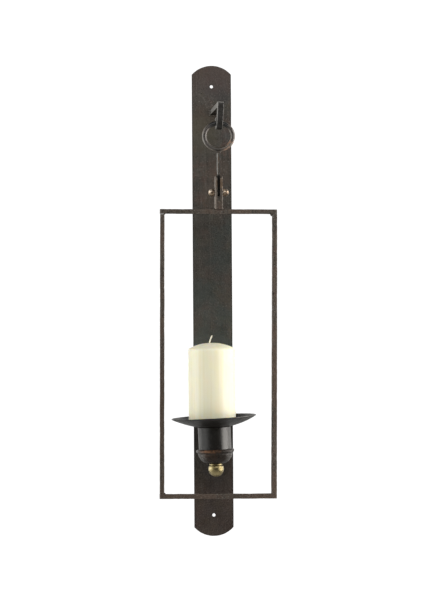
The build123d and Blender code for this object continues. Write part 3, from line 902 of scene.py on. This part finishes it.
def build_collar():
    low, high, radius, _ = cup_extent("finial_collar")
    neck = radius - 0.0022
    band = low + (high - low) * 0.42
    corners = [(ROD_HOLE_R, high), (radius, high), (radius, band)]
    corners += [(neck, band - 0.0006), (neck, low), (ROD_HOLE_R, low)]
    profile = filleted(corners, [0.0005, 0.0006, 0.0004, 0.0], 4)
    marks = (0.00004, 0.007, 0.00004, 15)
    cup_piece("finial_collar", "finial_collar_turned", profile, brass, 96, marks)


def build_ball():
    """The ball nut: a sphere with a flat top and a small dimple below, and its blind thread hole."""
    _, high, radius, _ = cup_extent("finial_ball")
    flat = math.sqrt(max(0.0, radius**2 - high**2))
    top_turn = math.atan2(high, flat)
    steps = 26
    foot_turn = -math.pi / 2
    profile = []
    for k in range(steps + 1):
        t = foot_turn + (top_turn - foot_turn) * k / steps
        dimple = 0.0004 * math.exp(-(((t - foot_turn) / 0.16) ** 2))
        profile.append((radius * math.cos(t) if k else 0.0, radius * math.sin(t) + dimple))
    hole_floor = high - 0.009
    profile += [(flat - 0.0006, high + 0.0002), (THREAD_R, high), (THREAD_R, hole_floor), (0.0, hole_floor)]
    marks = (0.00010, 0.007, 0.00006, 16)
    cup_piece("finial_ball", "finial_ball_turned", profile, brass, 112, marks, False)


def build_rod():
    """The tie rod, with its thread cut all along."""
    low, high, radius, _ = cup_extent("tie_rod")
    pitch, depth, turns = 0.0008, 0.00035, 36
    rings = []
    rings_per_turn = 6
    count = round((high - low) / (pitch / rings_per_turn))
    for k in range(count + 1):
        z = low + (high - low) * k / count
        ring = []
        for i in range(turns):
            phase = (z / pitch - i / turns) % 1.0
            r = radius - depth * abs(2 * phase - 1)
            t = math.tau * i / turns
            ring.append(cup_matrix @ Vector((r * math.cos(t), r * math.sin(t), z)))
        rings.append(ring)
    finish_mesh(skin(rings), "tie_rod_threaded", steel, "wall_bracket", ["tie_rod"], 70)


def build_washer():
    low, high, radius, _ = cup_extent("pan_washer")
    corners = [(ROD_HOLE_R, low), (radius, low), (radius, high), (ROD_HOLE_R, high)]
    profile = filleted(corners, [0.0003, 0.0003], 3)
    cup_piece("pan_washer", "pan_washer_punched", profile, steel, 72)


def build_pricket():
    """The spike on its round base, with the blind hole that the rod screws into."""
    low, high, radius, _ = cup_extent("pricket")
    base, root, tip = low + 0.003, 0.004, 0.0005
    corners = [(THREAD_R, low), (radius, low), (radius, base), (root + 0.0006, base), (root, base + 0.0008)]
    corners += [(tip, high - 0.0003), (0.0, high)]
    profile = [(0.0, low + 0.006), (THREAD_R, low + 0.006)]
    profile += filleted(corners, [0.0004, 0.0005, 0.0, 0.0, 0.0], 4)
    cup_piece("pricket", "pricket_turned", profile, steel, 72, closed=False)


build_pan()
build_sleeve()
build_bowl()
build_bead()
build_collar()
build_ball()
build_rod()
build_washer()
build_pricket()


# ---------------------------------------------------------------- ring and shank

def build_ring():
    rings = []
    around, section = 156, 28
    for k in range(around):
        t = math.tau * k / around
        place = ring_centre + Vector((RING_LINE.x * math.cos(t), 0, RING_LINE.z * math.sin(t)))
        out = Vector((math.cos(t) / RING_LINE.x, 0, math.sin(t) / RING_LINE.z)).normalized()
        bar_r = RING_BAR_R * (0.975 + 0.025 * noise1(place, 0.014, 21))
        ring = []
        for i in range(section):
            turn = math.tau * i / section
            ring.append(hang_matrix @ (place + (out * math.cos(turn) + BACK * math.sin(turn)) * bar_r))
        rings.append(ring)
    bm = skin(rings, closed_along=True)
    hammered(bm, 0.00022, 0.0055, 0.00025, 22)
    finish_mesh(bm, "hanging_ring_bent", ring_iron, "ring_link", ["hanging_ring"], sharp=70)


build_ring()
build_forged("ring_shank", "ring_link", shank_iron, 0.00036, 4, 0.00012, 0.006, 23, 0.0001)
build_forged("shank_weld", "ring_link", weld_iron, 0.00036, 5, 0.0002, 0.002, 24, 0.0003)


# ---------------------------------------------------------------- stirrup frame

def bar_rings(start, end, widths, depth, twist):
    """A bar's rings between two places on the hanging line. widths and twist, in degrees, are per end."""
    along = (end - start).normalized()
    length = (end - start).length
    ends = ((0.0, 0.82), (0.0002, 0.93), (0.0007, 1.0))
    count = round(length / 0.003)
    stations = list(ends)
    stations += [(0.0007 + (length - 0.0014) * k / count, 1.0) for k in range(1, count)]
    stations += [(length - distance, scale) for distance, scale in reversed(ends)]
    rings = []
    for distance, scale in stations:
        share = distance / length
        turn = math.radians(twist[0] + (twist[1] - twist[0]) * share)
        width = widths[0] + (widths[1] - widths[0]) * share
        across = Matrix.Rotation(turn, 3, along) @ BACK
        side = along.cross(across)
        inward = (width - BAR) / 2 if start.x > 0 else 0.0
        centre = start + along * distance - Vector((inward, 0, 0))
        outline = rounded_box(depth, width, 0.0009)
        rings.append([hang_matrix @ (centre + (across * p.x + side * p.y) * scale) for p in outline])
    return rings


def build_bar(node, level, seed, swell, twist):
    """swell is how much wider than its stock the bar is at each end, seen from the front."""
    low, high = local_box(node, hang_matrix)
    centre = (low + high) / 2
    start, end = centre.copy(), centre.copy()
    axis = 0 if level else 2
    start[axis], end[axis] = low[axis], high[axis]
    bm = skin(bar_rings(start, end, (BAR + swell[0], BAR + swell[1]), BAR, twist))
    bmesh.ops.recalc_face_normals(bm, faces=bm.faces)
    hammered(bm, 0.00025, 0.007, 0.00030, seed)
    finish_mesh(bm, node + "_forged", bar_iron, "stirrup_frame", [node], sharp=45)


def build_corner_welds():
    bm = bmesh.new()
    middle_x = (top_bar[0].x + top_bar[1].x) / 2
    middle_z = (top_bar[1].z + bottom_bar[0].z) / 2
    for corner, reach in zip(frame_corners, (0.0010, 0.0030, 0.0016, 0.0012)):
        sx = 1 if corner.x < middle_x else -1
        sz = 1 if corner.z < middle_z else -1
        place = corner + Vector((sx, 0, sz)) * (BAR / 2 + 0.0002)
        scale = Matrix.Diagonal((reach, 0.0026, reach, 1.0))
        matrix = hang_matrix @ Matrix.Translation(place) @ scale
        bmesh.ops.create_icosphere(bm, subdivisions=4, radius=1.0, matrix=matrix)
    hammered(bm, 0.0003, 0.0022, 0.0003, 31)
    finish_mesh(bm, "corner_weld_beads", weld_iron, "stirrup_frame", ["corner_welds"], sharp=60)


def build_pivot_ball(node, side, seed):
    """A ball head on the pin, its profile turned about the pin's axis from its foot to its outer end."""
    outward = hang_across * side
    pin_matrix = axes_matrix(pivot, BACK.cross(outward), outward)
    low, high = local_box(node, pin_matrix)
    radius = (high.y - low.y) / 2
    foot = low.z - (high.z - radius)
    matrix = pin_matrix @ Matrix.Translation((0, 0, high.z - radius))
    foot_turn = math.asin(foot / radius)
    steps = 20
    pin_r, hole_floor = 0.0025, foot + 0.003
    profile = [(0.0, hole_floor), (pin_r, hole_floor), (pin_r, foot)]
    profile.append((radius * math.cos(foot_turn) - 0.0006, foot))
    for k in range(steps + 1):
        t = foot_turn + 0.06 + (math.pi / 2 - foot_turn - 0.06) * k / steps
        flat = 0.00025 * math.exp(-(((math.pi / 2 - t) / 0.3) ** 2))
        out = radius * math.cos(t) if k < steps else 0.0
        profile.append((out, radius * math.sin(t) - flat))
    bm = lathe(profile, matrix, 72)
    hammered(bm, 0.00022, 0.0035, 0.0001, seed)
    finish_mesh(bm, node + "_head", bronze, "stirrup_frame", [node])


build_bar("frame_top_bar", level=True, seed=32, swell=(-0.0002, -0.0002), twist=(0.0, 1.5))
build_bar("frame_bottom_bar", level=True, seed=33, swell=(0.0, 0.0), twist=(-1.0, 2.0))
build_bar("frame_left_bar", level=False, seed=34, swell=(-0.0005, -0.0007), twist=(0.5, -1.0))
build_bar("frame_right_bar", level=False, seed=35, swell=(0.0007, 0.0), twist=(6.0, 3.0))
build_corner_welds()
build_forged("clevis", "stirrup_frame", clevis_iron, 0.0004, 4, 0.00016, 0.005, 36, 0.00012)
build_forged("clevis_weld", "stirrup_frame", weld_iron, 0.0003, 4, 0.0002, 0.002, 37, 0.0003)
build_forged("pivot_pin", "stirrup_frame", bronze, 0.00025, 2, 0.0, 0.003, 38)
build_pivot_ball("pivot_ball_left", -1, 39)
build_pivot_ball("pivot_ball_right", 1, 40)


# ---------------------------------------------------------------- candle and wick

candle_low, candle_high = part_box("candle")
CANDLE_R = (candle_high.y - candle_low.y) / 2
foot_centre = Vector((candle_high.x - CANDLE_R, (candle_low.y + candle_high.y) / 2, candle_low.z + 0.0002))
top_centre = Vector((candle_low.x + CANDLE_R, foot_centre.y, candle_high.z))
candle_up = (top_centre - foot_centre).normalized()
candle_matrix = axes_matrix(foot_centre, BACK.cross(candle_up).normalized(), candle_up)
CANDLE_H = (top_centre - foot_centre).length


def build_candle():
    """The pillar: a low dome, a soft shoulder, straight sides, and the spike's hole in its foot."""
    dome, dome_r = 0.080, 0.0345
    edge_drop = dome - math.sqrt(dome**2 - dome_r**2)
    shoulder = 0.0036
    profile = []
    for k in range(25):
        r = dome_r * k / 24
        dimple = 0.0005 * math.exp(-((r / 0.006) ** 2))
        profile.append((r, CANDLE_H - dome + math.sqrt(dome**2 - r * r) - dimple))
    edge = CANDLE_H - edge_drop
    turn = arc_profile(
        (dome_r, edge),
        (CANDLE_R - 0.0008, edge - shoulder * 0.41),
        (CANDLE_R, edge - shoulder),
        10,
    )
    profile += turn[1:]
    side_steps = 44
    side_top, side_low = edge - shoulder, 0.0016
    drop = (side_low - side_top) / side_steps
    profile += [(CANDLE_R, side_top + drop * k) for k in range(1, side_steps + 1)]
    profile += [(CANDLE_R - 0.0002, 0.0007), (CANDLE_R - 0.0007, 0.0002), (CANDLE_R - 0.0015, 0.0)]
    profile += [(CANDLE_R * share, 0.0) for share in (0.8, 0.6, 0.4)]
    segments = 144
    rings = [circle(candle_matrix, r, z, segments) for r, z in profile[1:]]
    spike_low, spike_high, _, _ = cup_extent("pricket")
    hole_mouth = cup_matrix.inverted() @ foot_centre
    hole = [(0.0046, hole_mouth.z + 0.0001), (0.0043, spike_low + 0.009), (0.0012, spike_high + 0.0008)]
    rings += [circle(cup_matrix, radius, height, segments) for radius, height in hole]
    bm = skin(rings, capped=False)
    verts = list(bm.verts)
    apex = bm.verts.new(candle_matrix @ Vector((0, 0, profile[0][1])))
    join_rings(bm, [apex], verts[:segments])
    bm.faces.new(verts[-segments:])
    bm.normal_update()
    for v in bm.verts:
        v.co += noise3(v.co, 0.045, 41) * 0.00025 + noise3(v.co, 0.008, 42) * 0.00004
    finish_mesh(bm, "candle_wax", wax, "candle", ["candle"], 60)


def build_wick():
    """Three twisted strands, straight out of the wax and then bent over."""
    low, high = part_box("candle_wick")
    radius = (high.y - low.y) / 2
    base = Vector((low.x + radius, middle("candle_wick").y, low.z))
    tip = Vector((high.x - radius * 0.8, base.y, high.z - radius * 0.3))
    bend = base + candle_up * 0.0062
    rings = []
    steps, sides, twist = 46, 30, 9.0
    for k in range(steps + 1):
        s = k / steps
        centre = (1 - s) ** 2 * base + 2 * s * (1 - s) * bend + s**2 * tip
        ahead = (2 * (1 - s) * (bend - base) + 2 * s * (tip - bend)).normalized()
        across = BACK.cross(ahead).normalized()
        depth = ahead.cross(across)
        taper = 1.0 if s < 0.9 else 1.0 - 0.35 * (s - 0.9) / 0.1
        ring = []
        for i in range(sides):
            t = math.tau * i / sides
            strand = abs(math.cos(1.5 * (t - s * twist)))
            r = radius * taper * (0.74 + 0.26 * strand)
            ring.append(centre + (across * math.cos(t) + depth * math.sin(t)) * r)
        rings.append(ring)
    bm = skin(rings)
    finish_mesh(bm, "candle_wick_twisted", wick_cotton, "candle", ["candle_wick"], 60)


build_candle()
build_wick()


# ---------------------------------------------------------------- room, light and camera

def build_floor():
    z = cad_box[0].z - FLOOR_DROP
    bm = bmesh.new()
    place = Matrix.Translation((0, 0, z))
    bmesh.ops.create_circle(bm, cap_ends=True, segments=128, radius=FLOOR_R, matrix=place)
    s = Shader("pale_floor")
    # Painted shade: the floor is darker within 4 m of its middle, under the object, and pale beyond.
    under = s.near(Vector((0, 0, z)), 4.0)
    s.set(Base_Color=s.mix(under, (0.95, 0.95, 0.94), (0.66, 0.66, 0.65)), Roughness=0.7)
    floor = mesh_object(bm, "floor", s.material)


def add_softbox(name, azimuth, height, distance, width, tall, power, colour):
    """An area light round the object: azimuth 0 is in front of it and 90 to its right."""
    data = bpy.data.lights.new(name, "AREA")
    data.shape = "RECTANGLE"
    data.size, data.size_y = width, tall
    data.energy = power
    data.color = colour
    light = add_object(name, data)
    turn = math.radians(azimuth)
    light.location = (distance * math.sin(turn), -distance * math.cos(turn), height)
    aim = Vector((0, -0.04, 0)) - light.location
    light.rotation_mode = "QUATERNION"
    light.rotation_quaternion = aim.to_track_quat("-Z", "Y")


def build_world():
    """White to the camera; for light, bright behind the object, and dim overhead and in front."""
    world = bpy.data.worlds.new("studio")
    bpy.context.scene.world = world
    world.use_nodes = True
    n = Nodes(world.node_tree)
    direction = n.node("ShaderNodeTexCoord").outputs["Generated"]
    split = n.node("ShaderNodeSeparateXYZ", {0: direction})
    behind = n.ramp(split.outputs["Y"], -0.7, 0.3, 0.10, 0.95)
    overhead = n.ramp(split.outputs["Z"], 0.2, 0.8, 1.0, 0.3)
    strength = n.math("MULTIPLY", behind, overhead)
    lit = n.node("ShaderNodeBackground", {"Color": (1, 0.99, 0.97), "Strength": strength})
    seen = n.node("ShaderNodeBackground", {"Color": (1, 1, 1), "Strength": 1.1})
    by_camera = n.node("ShaderNodeLightPath").outputs["Is Camera Ray"]
    choose = n.node("ShaderNodeMixShader", {0: by_camera, 1: lit.outputs[0], 2: seen.outputs[0]})
    n.node("ShaderNodeOutputWorld", {0: choose.outputs[0]})


def build_camera():
    """Level with the middle of the strap, a little to its left and 4.1 m away."""
    distance, azimuth, roll = 4.1, math.radians(-4.0), math.radians(0.345)
    target = Vector((0.0032, 0, 0.0015))
    data = bpy.data.cameras.new("camera")
    data.sensor_width = 36
    data.lens = 151.7
    data.clip_end = 50
    camera = add_object("camera", data)
    ahead = Vector((-math.sin(azimuth), math.cos(azimuth), 0))
    camera.location = target - ahead * distance
    camera.rotation_mode = "QUATERNION"
    level_view = ahead.to_track_quat("-Z", "Y")
    camera.rotation_quaternion = Matrix.Rotation(roll, 4, ahead).to_quaternion() @ level_view
    bpy.context.scene.camera = camera


build_floor()
build_world()
add_softbox("softbox_right", 75, 0.15, 1.5, 1.7, 1.8, 38, (1.0, 0.985, 0.975))
add_softbox("softbox_left", -84, 0.10, 2.0, 3.0, 2.6, 43, (0.96, 0.99, 1.0))
add_softbox("overhead", 0, 1.2, 1.9, 2.2, 1.2, 14, (1.0, 1.0, 1.0))
build_camera()
bpy.context.scene.view_settings.view_transform = "Standard"
